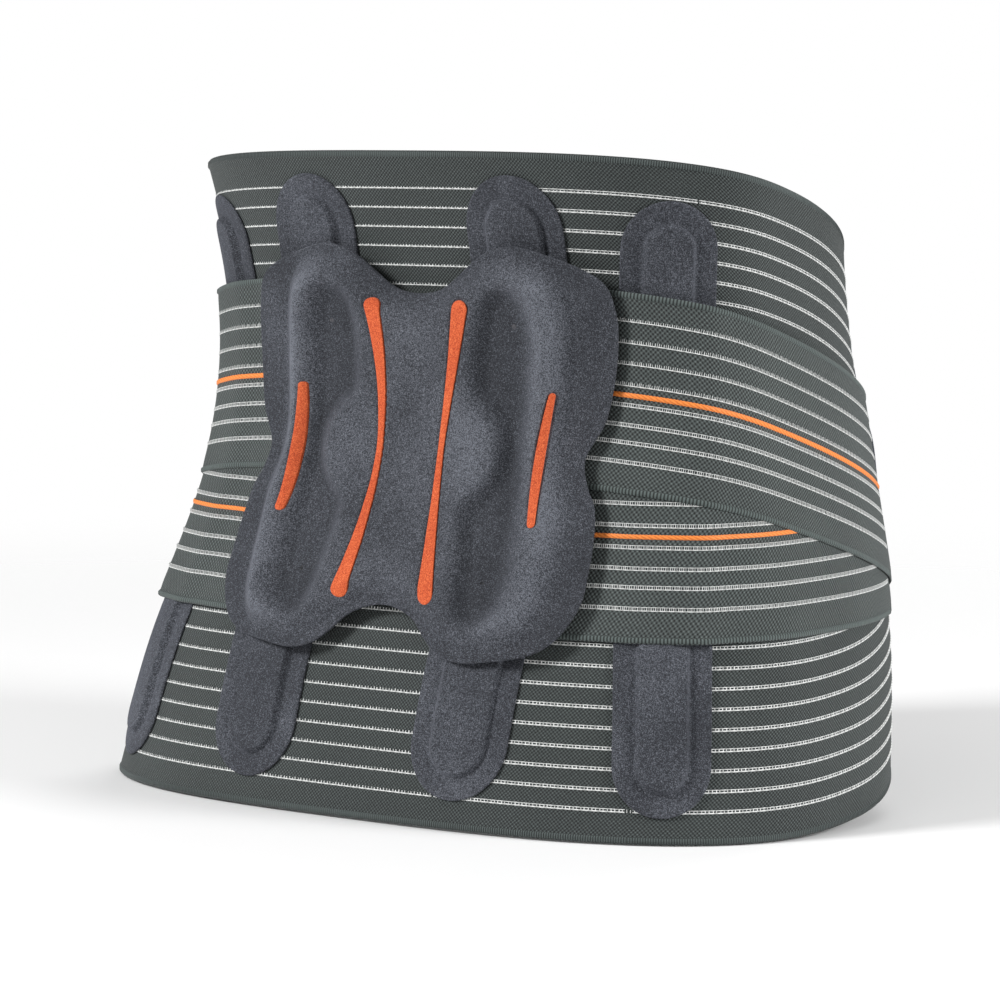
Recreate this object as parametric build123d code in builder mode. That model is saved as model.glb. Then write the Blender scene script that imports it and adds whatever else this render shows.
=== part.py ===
from build123d import *
import math
import os

os.makedirs("parts", exist_ok=True)

# Lumbar support belt, worn shape, in millimetres. +Z is up, the wearer's back faces -Y and the
# wearer's right is +X. The origin is on the trunk's axis, midway up the back of the belt.

# ---- Trunk: half width, depth behind the axis and depth in front of it, level by level
LEVEL_Z = (140, 105, 70, 35, 0, -33, -66, -102, -138)
HALF_WIDTH = (143, 134.5, 129, 129, 134.5, 144.5, 156, 165.5, 173.5)
BACK_DEPTH = (75.5, 66.5, 60, 59.5, 65.5, 77, 90.5, 102, 111.5)
FRONT_DEPTH = (106, 127.5, 145.5, 158, 162.5, 158.5, 146, 123, 95)
BACK_POWER = 2.8      # how square the back of a section is; 2 is an ellipse
FRONT_POWER = 2.2
POINTS_ROUND = 36     # spline points round one section
REACH = 300           # longer than any cut needs

# ---- Layers: distances of the inner and outer face from the knit's outer face
KNIT = (-1.6, 0.0)
POCKET = (0.3, 2.7)
POCKET_CHANNEL = (0.2, 2.0)
STAY = (0.5, 1.6)
STAY_CAP = (0.5, 1.7)
FRONT_PANEL = (0.3, 1.5)
LOWER_STRAP = (3.0, 3.9)
UPPER_STRAP = (4.2, 5.1)
TAB_HOOK = (1.8, 2.7)
TAB = (3.0, 5.1)
HAND_POCKET = (1.8, 3.0)
CLOSURE_HOOK = (-2.9, -1.9)
PAD_HOOK = (5.4, 6.3)
PAD_BASE = (6.6, 7.8)
PAD_CORE = (8.1, 12.0)
PAD_STIFFENER = (8.1, 9.6)
PAD_COVER = (12.3, 13.4)
INLAY = (12.3, 13.8)
LEFT_RISE = 5.0       # the left front end lies this far outside the right one

# ---- Belt outline in side view (Y, Z)
TOP_EDGE = ((-90, 133.5), (0, 116.3), (175, 58))
BOTTOM_EDGE = ((-125, -130), (-60, -131), (0, -127.5), (60, -116), (175, -80))

# ---- Wings: they swing about an axis that leans with the wearer's side
WING_SPLIT_Y = 12
SPLIT_GAP = 4
FRONT_OVERLAP = 30    # each front end passes the middle by this much
END_CROWN = 30        # how much further back the corners of a front end are

# ---- Stay pockets
SPINE_POCKET_X = 51
SPINE_POCKET_WIDTH = 44
SPINE_POCKET_TOP = 121.5
SPINE_POCKET_BOTTOM = -119.5
SIDE_POCKET_WIDTH = 38
SIDE_POCKET_LENGTH = 236
SIDE_POCKET_TOP_POINT = (114.7, -49.9, 113)
SIDE_POCKET_BOTTOM_POINT = (135.6, -83, -121)
CHANNEL_INSET = 10    # the stay's channel is this much narrower at each side than its pocket
STAY_WIDTH = 14
STAY_END_GAP = 21     # from the end of a pocket to the end of its stay
CAP_LENGTH = 8        # of the cap beyond the stay's end
CAP_OVERHANG = 2      # a cap is this much wider than its stay
CAP_GAP = 0.5         # between a stay's end and its cap
SIDE_POCKET_FACING = (0.6, -0.8, 0)
SIDE_SLOT_DEPTH = (25, 60)   # where a side pocket's outline starts inside the trunk, and its depth

# ---- Straps: centre height at the trunk's axis and fall towards the front
STRAP_WIDTH = 79
UPPER_STRAP_Z = 22
UPPER_STRAP_FALL = 0.29
LOWER_STRAP_Z = -17
LOWER_STRAP_FALL = 0.0
UPPER_STRAP_START_X = 30
LOWER_STRAP_START_X = 34
ANCHOR_HALF_WIDTH = 28
ANCHOR_TOP = 70
ANCHOR_BOTTOM = -42
LOOP_PATCH_INSET = 8

# ---- Strap end tabs, from side to front
TAB_ROOT_X = 98
TAB_TIP_X = 42
TAB_Z = -17
TAB_HEIGHT = 74
TAB_TIP_RADIUS = 16
TAB_HOOK_INSET = 5

# ---- Front ends
PANEL_Z = -12
PANEL_HEIGHT = 132
PANEL_INSET = 5
PANEL_RADIUS = 20
CLOSURE_HALF_WIDTH = 24
HAND_POCKET_REACH = 36
HAND_POCKET_TIP = 22
HAND_POCKET_HEIGHT = 96
PATCH_RADIUS = 6

# ---- Back pad: right half of its outline (X, Z), from the top notch to the bottom notch
PAD_X = 6.5
PAD_HALF_OUTLINE = (
    (0, 74.5), (20, 82.8), (44, 93.8), (71, 86), (83.5, 71), (83.5, 44), (74.5, 11),
    (83, -18), (84, -46), (68, -62.8), (42, -67), (22, -58.5), (0, -47.8),
)
PAD_HALF_WIDTH = 83.5
PAD_NOTCH = 30        # heights closer than this to the pad's middle aren't drawn in
PAD_COVER_INSET = 9
PAD_HOOK_INSET = 3
FOAM_X = 40
FOAM_Z = 14
FOAM_SIZE = (22, 100)
STIFFENER_SIZE = (22, 84)
ROOM = 1.0            # extra width and height of a window over what lies in it
LONG_INLAY_X = (13.5, 19.8)
LONG_INLAY_Z = (71, 13, -43)
LONG_INLAY_WIDTH = 3.6
SHORT_INLAY_X = (55, 56.8)
SHORT_INLAY_Z = (37, 12, -13)
SHORT_INLAY_WIDTH = 2.8

SIDES = {"right": 1, "left": -1}
torsos = {}


def trunk_outline(level, off, rise):
    """Points round the trunk at one level, off the knit's outer face, from the spine round."""
    points = []
    for step in range(POINTS_ROUND):
        angle = 2 * math.pi * step / POINTS_ROUND
        across, along = math.sin(angle), math.cos(angle)
        if along >= 0:
            power, depth = 2 / BACK_POWER, -(BACK_DEPTH[level] + off)
        else:
            power, depth = 2 / FRONT_POWER, FRONT_DEPTH[level] + off + rise
        x = (HALF_WIDTH[level] + off) * math.copysign(abs(across) ** power, across)
        points.append((x, depth * abs(along) ** power))
    return points


def torso(off, rise=0.0):
    """Solid trunk whose skin is off the knit's outer face; the front stands out by rise more."""
    if (off, rise) not in torsos:
        with BuildPart() as trunk:
            for level, z in enumerate(LEVEL_Z):
                with BuildSketch(Plane.XY.offset(z)):
                    with BuildLine():
                        Spline(*trunk_outline(level, off, rise), periodic=True)
                    make_face()
            loft()
        torsos[(off, rise)] = trunk.part
    return torsos[(off, rise)]


def save(part, label):
    part.label = label
    export_step(part, f"parts/{label}.step")


def layer_patch(layer, outline, rise=0.0):
    """The part of a layer that lies inside a solid outline."""
    inner, outer = layer
    with BuildPart() as patch:
        add(outline)
        add(torso(outer, rise), mode=Mode.INTERSECT)
        add(torso(inner, rise), mode=Mode.SUBTRACT)
    return patch.part


def inside(*outlines):
    """The space that all the outlines share."""
    with BuildPart() as common:
        add(outlines[0])
        for outline in outlines[1:]:
            add(outline, mode=Mode.INTERSECT)
    return common.part


def minus(whole, *cuts):
    """A solid with others cut out of it."""
    with BuildPart() as rest:
        add(whole)
        for cut in cuts:
            add(cut, mode=Mode.SUBTRACT)
    return rest.part


# ---- Cutting outlines
with BuildPart() as belt_profile:
    with BuildSketch(Plane.YZ):
        with BuildLine():
            top = ThreePointArc(*TOP_EDGE)
            bottom = Spline(*BOTTOM_EDGE)
            Line(top @ 0, bottom @ 0)
            Line(top @ 1, bottom @ 1)
        make_face()
    extrude(amount=REACH, both=True)


def half_space(y_from, y_to, x_from, x_to):
    """Upright block between two Y and two X planes."""
    with BuildPart() as block:
        with BuildSketch(Plane.XY.offset(-REACH)):
            with Locations(((x_from + x_to) / 2, (y_from + y_to) / 2)):
                Rectangle(x_to - x_from, y_to - y_from)
        extrude(amount=2 * REACH)
    return block.part


def strap_slab(centre_z, fall):
    """Sloping slab as thick as a strap is wide; it falls towards the front."""
    slope = math.degrees(math.atan(fall))
    lean = Plane(origin=(0, 0, centre_z), x_dir=(1, 0, 0), z_dir=(0, fall, 1))
    with BuildPart() as slab:
        with BuildSketch(lean):
            Rectangle(2 * REACH, 2 * REACH)
        extrude(amount=STRAP_WIDTH / 2 * math.cos(math.radians(slope)), both=True)
    return slab.part


def back_slot(x, top, bottom, width):
    """Round-ended outline on the back, upright."""
    with BuildPart() as slot:
        with BuildSketch(Plane.XZ):
            with Locations((x, (top + bottom) / 2)):
                SlotOverall(top - bottom, width, rotation=90)
        extrude(amount=REACH)
    return slot.part


def side_slot(side, length, width):
    """Round-ended outline over a side pocket, square to the wearer's side there."""
    top = Vector(*SIDE_POCKET_TOP_POINT)
    bottom = Vector(*SIDE_POCKET_BOTTOM_POINT)
    up = (top - bottom).normalized()
    facing = Vector(*SIDE_POCKET_FACING)
    start, depth = SIDE_SLOT_DEPTH
    outward = facing - up * facing.dot(up)
    middle = (top + bottom) / 2 - outward.normalized() * start
    plane = Plane(origin=middle, x_dir=up.cross(outward), z_dir=outward)
    with BuildPart() as slot:
        with BuildSketch(plane):
            SlotOverall(length, width, rotation=90)
        extrude(amount=depth)
        if side < 0:
            mirror(about=Plane.YZ, mode=Mode.REPLACE)
    return slot.part


def pad_outline(inset):
    """Outline of the back pad, extruded over the back; inset draws its points in by that much."""
    middle = (PAD_HALF_OUTLINE[0][1] + PAD_HALF_OUTLINE[-1][1]) / 2
    narrower = 1 - inset / PAD_HALF_WIDTH
    half = [(x * narrower, z - math.copysign(inset, z - middle) * (abs(z - middle) > PAD_NOTCH))
            for x, z in PAD_HALF_OUTLINE]
    right = [(PAD_X + x, z) for x, z in half]
    left = [(PAD_X - x, z) for x, z in half[-2:0:-1]]
    with BuildPart() as shape:
        with BuildSketch(Plane.XZ):
            with BuildLine():
                Spline(*right, *left, periodic=True)
            make_face()
        extrude(amount=REACH)
    return shape.part


def back_block(x, z, width, height, radius):
    """Upright rounded block through the back."""
    with BuildPart() as block:
        with BuildSketch(Plane.XZ):
            with Locations((x, z)):
                RectangleRounded(width, height, radius)
        extrude(amount=REACH)
    return block.part


def front_block(x_from, x_to, z, height, radius):
    """Upright rounded block through the front."""
    with BuildPart() as block:
        with BuildSketch(Plane.XZ):
            with Locations(((x_from + x_to) / 2, z)):
                RectangleRounded(abs(x_to - x_from), height, radius)
        extrude(amount=-REACH)
    return block.part


def front_end(side):
    """Everything on one side of a bowed line that ends the wing past the middle."""
    tip = -side * FRONT_OVERLAP
    corner = -side * (FRONT_OVERLAP - END_CROWN)
    with BuildPart() as block:
        with BuildSketch(Plane.XZ):
            with BuildLine():
                ThreePointArc((corner, REACH / 2), (tip, 0), (corner, -REACH / 2))
                Polyline(
                    (corner, -REACH / 2), (side * REACH, -REACH / 2),
                    (side * REACH, REACH / 2), (corner, REACH / 2),
                )
            make_face()
        extrude(amount=-REACH)
    return block.part


def inlay_outline(side, x_mid, x_end, heights, width):
    """Round-ended band along an inlay's centre line."""
    top, mid, bottom = heights
    with BuildPart() as band:
        with BuildSketch(Plane.XZ):
            with BuildLine():
                arcs = []
                for edge in (-width / 2, width / 2):
                    arcs.append(ThreePointArc(
                        (PAD_X + side * x_end + edge, top),
                        (PAD_X + side * x_mid + edge, mid),
                        (PAD_X + side * x_end + edge, bottom),
                    ))
                ThreePointArc(arcs[0] @ 0, (PAD_X + side * x_end, top + width / 2), arcs[1] @ 0)
                ThreePointArc(arcs[0] @ 1, (PAD_X + side * x_end, bottom - width / 2), arcs[1] @ 1)
            make_face()
        extrude(amount=REACH)
    return band.part


# ---- Back: knit panel, pockets and stays
behind_split = half_space(-REACH, WING_SPLIT_Y - SPLIT_GAP / 2, -REACH, REACH)
ahead_of_split = half_space(WING_SPLIT_Y + SPLIT_GAP / 2, REACH, -REACH, REACH)
save(layer_patch(KNIT, inside(belt_profile.part, behind_split)), "back_knit_panel")


def pocket_slot(side, place, trim, width):
    """Outline on a pocket's centre line, shorter than the pocket by trim at each end."""
    if place == "side":
        return side_slot(side, SIDE_POCKET_LENGTH - 2 * trim, width)
    return back_slot(side * SPINE_POCKET_X, SPINE_POCKET_TOP - trim, SPINE_POCKET_BOTTOM + trim, width)


all_caps = []
for name, side in SIDES.items():
    for place, width in (("spine", SPINE_POCKET_WIDTH), ("side", SIDE_POCKET_WIDTH)):
        felt = layer_patch(POCKET, pocket_slot(side, place, 0, width))
        channel = pocket_slot(side, place, CHANNEL_INSET, width - 2 * CHANNEL_INSET)
        save(minus(felt, layer_patch(POCKET_CHANNEL, channel)), f"{name}_{place}_pocket")

        save(layer_patch(STAY, pocket_slot(side, place, STAY_END_GAP, STAY_WIDTH)), f"{name}_{place}_stay")
        cap_width = STAY_WIDTH + CAP_OVERHANG
        tips = layer_patch(STAY_CAP, pocket_slot(side, place, STAY_END_GAP - CAP_LENGTH, cap_width))
        clear_of_stay = pocket_slot(side, place, STAY_END_GAP - CAP_GAP, cap_width + CAP_GAP)
        all_caps.append(minus(tips, clear_of_stay))

with BuildPart() as stay_end_caps:
    for caps in all_caps:
        add(caps)
save(stay_end_caps.part, "stay_end_caps")

# ---- Strap anchor and loop patch on the spine
anchor_height = ANCHOR_TOP - ANCHOR_BOTTOM
anchor_z = (ANCHOR_TOP + ANCHOR_BOTTOM) / 2
anchor_block = back_block(PAD_X, anchor_z, 2 * ANCHOR_HALF_WIDTH, anchor_height, PATCH_RADIUS)
loop_width, loop_height = 2 * ANCHOR_HALF_WIDTH - LOOP_PATCH_INSET, anchor_height - LOOP_PATCH_INSET
loop_block = back_block(PAD_X, anchor_z, loop_width, loop_height, PATCH_RADIUS)
save(layer_patch(LOWER_STRAP, anchor_block), "strap_anchor")
save(layer_patch(UPPER_STRAP, loop_block), "pad_loop_patch")

# ---- Straps: a back length on the belt's back and a side length on each wing
straps = {
    "upper": (UPPER_STRAP, strap_slab(UPPER_STRAP_Z, UPPER_STRAP_FALL), UPPER_STRAP_START_X),
    "lower": (LOWER_STRAP, strap_slab(LOWER_STRAP_Z, LOWER_STRAP_FALL), LOWER_STRAP_START_X),
}


def side_block(side, y_from, y_to, x_from, x_to):
    """Block on one side of the wearer, between two distances from the middle."""
    low, high = sorted((side * x_from, side * x_to))
    return half_space(y_from, y_to, low, high)


for name, side in SIDES.items():
    rise = LEFT_RISE if side < 0 else 0.0
    for level, (layer, slab, start_x) in straps.items():
        start = start_x + side * PAD_X
        back = side_block(side, -REACH, WING_SPLIT_Y - SPLIT_GAP / 2, start, REACH)
        flank = side_block(side, WING_SPLIT_Y + SPLIT_GAP / 2, REACH, TAB_ROOT_X + SPLIT_GAP / 2, REACH)
        save(layer_patch(layer, inside(slab, back)), f"{name}_{level}_strap_back")
        save(layer_patch(layer, inside(slab, flank), rise), f"{name}_{level}_strap_side")

    # The two straps end in one tab, which clings to the front panel
    tab_root = side * (TAB_ROOT_X - SPLIT_GAP / 2)
    tab_block = front_block(tab_root, side * TAB_TIP_X, TAB_Z, TAB_HEIGHT, TAB_TIP_RADIUS)
    save(layer_patch(TAB, tab_block, rise), f"{name}_strap_tab")
    hook_block = front_block(
        side * (TAB_ROOT_X - 3 * TAB_HOOK_INSET), side * (TAB_TIP_X + TAB_HOOK_INSET),
        TAB_Z, TAB_HEIGHT - 2 * TAB_HOOK_INSET, TAB_TIP_RADIUS - TAB_HOOK_INSET,
    )
    save(layer_patch(TAB_HOOK, hook_block, rise), f"{name}_tab_hook")

    # Wing: knit and the loop-faced panel at its front end
    wing_space = inside(belt_profile.part, ahead_of_split, front_end(side))
    save(layer_patch(KNIT, wing_space, rise), f"{name}_wing_knit")
    panel_block = front_block(
        side * (TAB_ROOT_X - SPLIT_GAP), -side * (FRONT_OVERLAP - PANEL_INSET),
        PANEL_Z, PANEL_HEIGHT, PANEL_RADIUS,
    )
    save(layer_patch(FRONT_PANEL, panel_block, rise), f"{name}_front_panel")

# ---- Front closure: the left end carries the hook panel inside and a hand pocket outside
closure_x, closure_height = CLOSURE_HALF_WIDTH, PANEL_HEIGHT - PANEL_INSET
closure_block = front_block(-closure_x, closure_x, PANEL_Z, closure_height, PATCH_RADIUS)
save(layer_patch(CLOSURE_HOOK, closure_block, LEFT_RISE), "closure_hook_panel")
hand_block = front_block(-HAND_POCKET_REACH, HAND_POCKET_TIP, PANEL_Z, HAND_POCKET_HEIGHT, TAB_TIP_RADIUS)
save(layer_patch(HAND_POCKET, hand_block, LEFT_RISE), "hand_pocket")

# ---- Back pad: a felt base, a core with windows for foam and stiffener, and a cover with inlays
inlays = {}
for name, side in SIDES.items():
    inlays[f"{name}_long_inlay"] = (side, *LONG_INLAY_X, LONG_INLAY_Z, LONG_INLAY_WIDTH)
    inlays[f"{name}_short_inlay"] = (side, *SHORT_INLAY_X, SHORT_INLAY_Z, SHORT_INLAY_WIDTH)

slots = []
for label, (side, x_mid, x_end, heights, width) in inlays.items():
    save(layer_patch(INLAY, inlay_outline(side, x_mid, x_end, heights, width)), label)
    slots.append(inlay_outline(side, x_mid, x_end, heights, width + ROOM))

windows = []
foam_width, foam_height = FOAM_SIZE
for name, side in SIDES.items():
    foam_x = PAD_X + side * FOAM_X
    foam = back_block(foam_x, FOAM_Z, foam_width, foam_height, PATCH_RADIUS)
    save(layer_patch(PAD_CORE, foam), f"{name}_foam_insert")
    windows.append(back_block(foam_x, FOAM_Z, foam_width + ROOM, foam_height + ROOM, PATCH_RADIUS))

plate_width, plate_height = STIFFENER_SIZE
plate = back_block(PAD_X, FOAM_Z, plate_width, plate_height, PATCH_RADIUS)
save(layer_patch(PAD_STIFFENER, plate), "pad_stiffener")
windows.append(back_block(PAD_X, FOAM_Z, plate_width + ROOM, plate_height + ROOM, PATCH_RADIUS))

moulded = pad_outline(PAD_COVER_INSET)
save(layer_patch(PAD_HOOK, pad_outline(PAD_HOOK_INSET)), "pad_hook_backing")
save(layer_patch(PAD_BASE, pad_outline(0)), "pad_base")
save(layer_patch(PAD_CORE, minus(moulded, *windows)), "pad_core")
save(layer_patch(PAD_COVER, minus(moulded, *slots)), "pad_cover")
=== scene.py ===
import math

import bmesh
import bpy
import numpy as np
from mathutils import Matrix, Vector


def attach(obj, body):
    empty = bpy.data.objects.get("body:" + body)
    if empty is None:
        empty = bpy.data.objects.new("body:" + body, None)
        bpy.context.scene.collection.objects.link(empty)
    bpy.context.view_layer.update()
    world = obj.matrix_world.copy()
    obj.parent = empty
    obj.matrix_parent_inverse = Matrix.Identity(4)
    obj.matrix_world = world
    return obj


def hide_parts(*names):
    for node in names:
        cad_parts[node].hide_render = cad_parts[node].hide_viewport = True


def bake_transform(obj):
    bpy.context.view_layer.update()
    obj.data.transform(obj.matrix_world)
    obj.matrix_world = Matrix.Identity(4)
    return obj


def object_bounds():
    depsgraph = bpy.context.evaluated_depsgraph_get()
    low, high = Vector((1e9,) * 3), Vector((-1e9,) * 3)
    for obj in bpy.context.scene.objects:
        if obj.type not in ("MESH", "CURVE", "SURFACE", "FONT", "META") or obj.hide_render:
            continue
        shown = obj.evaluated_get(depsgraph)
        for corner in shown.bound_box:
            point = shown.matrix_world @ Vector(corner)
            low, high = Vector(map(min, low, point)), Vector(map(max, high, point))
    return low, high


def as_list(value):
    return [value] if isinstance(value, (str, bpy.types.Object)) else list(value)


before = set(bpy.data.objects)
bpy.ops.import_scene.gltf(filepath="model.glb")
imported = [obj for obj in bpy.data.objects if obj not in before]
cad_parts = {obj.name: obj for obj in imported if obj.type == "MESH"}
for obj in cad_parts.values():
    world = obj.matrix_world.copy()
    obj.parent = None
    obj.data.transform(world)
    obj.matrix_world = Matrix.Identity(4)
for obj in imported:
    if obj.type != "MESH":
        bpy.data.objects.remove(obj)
cad_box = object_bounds()

# Lengths below are in millimetres; MM turns them into Blender's metres.
# u is the distance round the belt from the spine, + towards the wearer's right; z is the height.
MM = 0.001

# ---- the wearer's trunk, as in the CAD
LEVEL_Z = np.array((-138.0, -102.0, -66.0, -33.0, 0.0, 35.0, 70.0, 105.0, 140.0))
HALF_WIDTH = np.array((173.5, 165.5, 156.0, 144.5, 134.5, 129.0, 129.0, 134.5, 143.0))
BACK_DEPTH = np.array((111.5, 102.0, 90.5, 77.0, 65.5, 59.5, 60.0, 66.5, 75.5))
FRONT_DEPTH = np.array((95.0, 123.0, 146.0, 158.5, 162.5, 158.0, 145.5, 127.5, 106.0))
BACK_POWER = 2.8
FRONT_POWER = 2.2
TOP_EDGE = ((-90, 133.5), (0, 116.3), (175, 58))
BOTTOM_EDGE_Y = np.array((-125.0, -60.0, 0.0, 60.0, 175.0))
BOTTOM_EDGE_Z = np.array((-130.0, -131.0, -127.5, -116.0, -80.0))
LEFT_RISE = 5.0
FRONT_OVERLAP = 30.0
SIDES = {"right": 1, "left": -1}


def cubic(xs, ys):
    """Natural cubic spline through the points."""
    n, h = len(xs), np.diff(xs)
    a, r = np.eye(n), np.zeros(n)
    for i in range(1, n - 1):
        a[i, i - 1:i + 2] = h[i - 1], 2 * (h[i - 1] + h[i]), h[i]
        r[i] = 6 * ((ys[i + 1] - ys[i]) / h[i] - (ys[i] - ys[i - 1]) / h[i - 1])
    m = np.linalg.solve(a, r)

    def value(x):
        i = np.clip(np.searchsorted(xs, x) - 1, 0, n - 2)
        d = x - xs[i]
        slope = (ys[i + 1] - ys[i]) / h[i] - h[i] * (2 * m[i] + m[i + 1]) / 6
        return ys[i] + d * slope + d ** 2 * m[i] / 2 + d ** 3 * (m[i + 1] - m[i]) / (6 * h[i])

    return value


half_width = cubic(LEVEL_Z, HALF_WIDTH)
back_depth = cubic(LEVEL_Z, BACK_DEPTH)
front_depth = cubic(LEVEL_Z, FRONT_DEPTH)

Z_STEP = 2.0
Z_ROWS = np.arange(-150.0, 156.0, Z_STEP)
U_LAST = 560
angle = np.linspace(0, 1.3 * math.pi, 8000)
behind = np.cos(angle) >= 0
power = np.where(behind, 2 / BACK_POWER, 2 / FRONT_POWER)
across = np.sign(np.sin(angle)) * np.abs(np.sin(angle)) ** power
along = np.sign(np.cos(angle)) * np.abs(np.cos(angle)) ** power
U_GRID = np.arange(0.0, U_LAST + 1)
ACROSS = np.zeros((len(Z_ROWS), U_LAST + 1))
ALONG = np.zeros_like(ACROSS)
for row, z_row in enumerate(Z_ROWS):
    xs = half_width(z_row) * across
    ys = -np.where(behind, back_depth(z_row), front_depth(z_row)) * along
    reach = np.concatenate(([0], np.cumsum(np.hypot(np.diff(xs), np.diff(ys)))))
    ACROSS[row] = np.interp(U_GRID, reach, across)
    ALONG[row] = np.interp(U_GRID, reach, along)


def lookup(table, u, z):
    """Bilinear value of a table over (z, u)."""
    fu = np.clip(u, 0, U_LAST - 0.001)
    fz = np.clip((z - Z_ROWS[0]) / Z_STEP, 0, len(Z_ROWS) - 1.001)
    iu, iz = fu.astype(int), fz.astype(int)
    du, dz = fu - iu, fz - iz
    low = table[iz, iu] * (1 - du) + table[iz, iu + 1] * du
    high = table[iz + 1, iu] * (1 - du) + table[iz + 1, iu + 1] * du
    return low * (1 - dz) + high * dz


def skin(u, z, off=0.0, rise=0.0):
    """Points off the knit's outer face, in mm; the front stands out by rise more."""
    u, z, off = np.broadcast_arrays(np.asarray(u, float), np.asarray(z, float), np.asarray(off, float))
    ac, al = lookup(ACROSS, np.abs(u), z), lookup(ALONG, np.abs(u), z)
    x = np.sign(u) * (half_width(z) + off) * ac
    y = -np.where(al > 0, back_depth(z) + off, front_depth(z) + off + rise) * al
    return np.stack((x, y, z), -1)


(ay, az), (by, bz), (cy, cz) = TOP_EDGE
circle = np.linalg.solve(
    np.array(((ay, az, 1.0), (by, bz, 1.0), (cy, cz, 1.0))),
    -np.array((ay * ay + az * az, by * by + bz * bz, cy * cy + cz * cz), float))
arc_y, arc_z = -circle[0] / 2, -circle[1] / 2
arc_r = math.sqrt(arc_y ** 2 + arc_z ** 2 - circle[2])
bottom_of_y = cubic(BOTTOM_EDGE_Y, BOTTOM_EDGE_Z)
top_grid, bottom_grid = np.full(U_LAST + 1, 120.0), np.full(U_LAST + 1, -125.0)
for turn in range(40):
    y_top = skin(U_GRID, top_grid)[:, 1]
    top_grid = 0.5 * top_grid + 0.5 * (arc_z + np.sqrt(arc_r ** 2 - (y_top - arc_y) ** 2))
    y_bottom = skin(U_GRID, bottom_grid)[:, 1]
    bottom_grid = 0.5 * bottom_grid + 0.5 * bottom_of_y(y_bottom)


def belt_top(u):
    return np.interp(np.abs(u), U_GRID, top_grid)


def belt_bottom(u):
    return np.interp(np.abs(u), U_GRID, bottom_grid)


def smooth(x, a, b):
    """0 before a, 1 after b, smooth between them."""
    t = np.clip((np.asarray(x, float) - a) / (b - a), 0, 1)
    return t * t * (3 - 2 * t)


def u_at_front_x(x, z):
    """Distance round to the front points that have those x at those heights z."""
    quarter = np.arange(200, U_LAST + 1)
    return np.array([np.interp(-x_at, -skin(quarter, np.full(len(quarter), z_at))[:, 0], quarter)
                     for x_at, z_at in np.broadcast(x, z)])


END_ROWS = np.linspace(-140, 140, 57)
END_U = u_at_front_x(-FRONT_OVERLAP * (1 - (END_ROWS / 150.0) ** 2), END_ROWS)


def end_u(z):
    """Distance round to the bowed front end of a wing, at height z."""
    return np.interp(z, END_ROWS, END_U)


def rise_of(side):
    """How much further the front of a wing stands out: the left end lies over the right one."""
    return LEFT_RISE if side < 0 else 0.0


def resampled(at, length, *values):
    """Values along a path of that travelled length, at other distances along it."""
    return [np.interp(at, length, np.broadcast_to(value, length.shape)) for value in values]


def travelled(points):
    """Distance along a line of points, from its first."""
    return np.concatenate(([0], np.cumsum(np.linalg.norm(np.diff(points, axis=0), axis=1))))


# ---- mesh helpers
UV = "cloth"


def make_object(name, points, faces, material, uv, attributes=(), smooth_faces=True):
    """A mesh object from points in mm; faces is a list of (n, sides) arrays; uv is one pair per point."""
    mesh = bpy.data.meshes.new(name)
    points = np.asarray(points, float).reshape(-1, 3) * MM
    corners = np.concatenate([np.ravel(part) for part in faces])
    sides = np.concatenate([np.full(len(part), np.shape(part)[1]) for part in faces])
    for items, key, values in (
        (mesh.vertices, "co", points.astype(np.float32)), (mesh.loops, "vertex_index", corners),
        (mesh.polygons, "loop_start", np.cumsum(sides) - sides),
    ):
        items.add(len(values))
        items.foreach_set(key, values.ravel())
    mesh.polygons.foreach_set("loop_total", sides)
    mesh.update(calc_edges=True)
    mesh.validate()
    corners = np.zeros(len(mesh.loops), np.int32)
    mesh.loops.foreach_get("vertex_index", corners)
    uv = np.asarray(uv, np.float32).reshape(-1, 2)
    mesh.uv_layers.new(name=UV).data.foreach_set("uv", uv[corners].ravel())
    for key, values in dict(attributes).items():
        attribute = mesh.attributes.new(key, "FLOAT", "POINT")
        attribute.data.foreach_set("value", np.asarray(values, np.float32).ravel())
    mesh.polygons.foreach_set("use_smooth", np.full(len(mesh.polygons), smooth_faces))
    mesh.materials.append(material)
    obj = bpy.data.objects.new(name, mesh)
    bpy.context.scene.collection.objects.link(obj)
    return obj


def grid_faces(rows, cols, first=0, closed=False, flip=False):
    """Quads of a rows by cols grid of points; closed joins the last column to the first."""
    i = np.arange(rows - 1)[:, None]
    j = np.arange(cols if closed else cols - 1)[None, :]
    k = (j + 1) % cols
    a, b = i * cols + j, i * cols + k
    quads = np.stack((a, b, b + cols, a + cols), -1).reshape(-1, 4) + first
    return quads[:, ::-1] if flip else quads


def joined(name, parts, material, smooth_faces=True):
    """One object out of parts, each with points, faces numbered from its own first point, and uv."""
    points, faces, uvs, count = [], [], [], 0
    for part_points, part_faces, uv in parts:
        points.append(part_points.reshape(-1, 3))
        faces.append(part_faces.reshape(-1, 4) + count)
        uvs.append(uv.reshape(-1, 2))
        count += len(points[-1])
    obj = make_object(name, np.vstack(points), faces, material, np.vstack(uvs), smooth_faces=smooth_faces)
    fix_normals(obj)
    return obj


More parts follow.
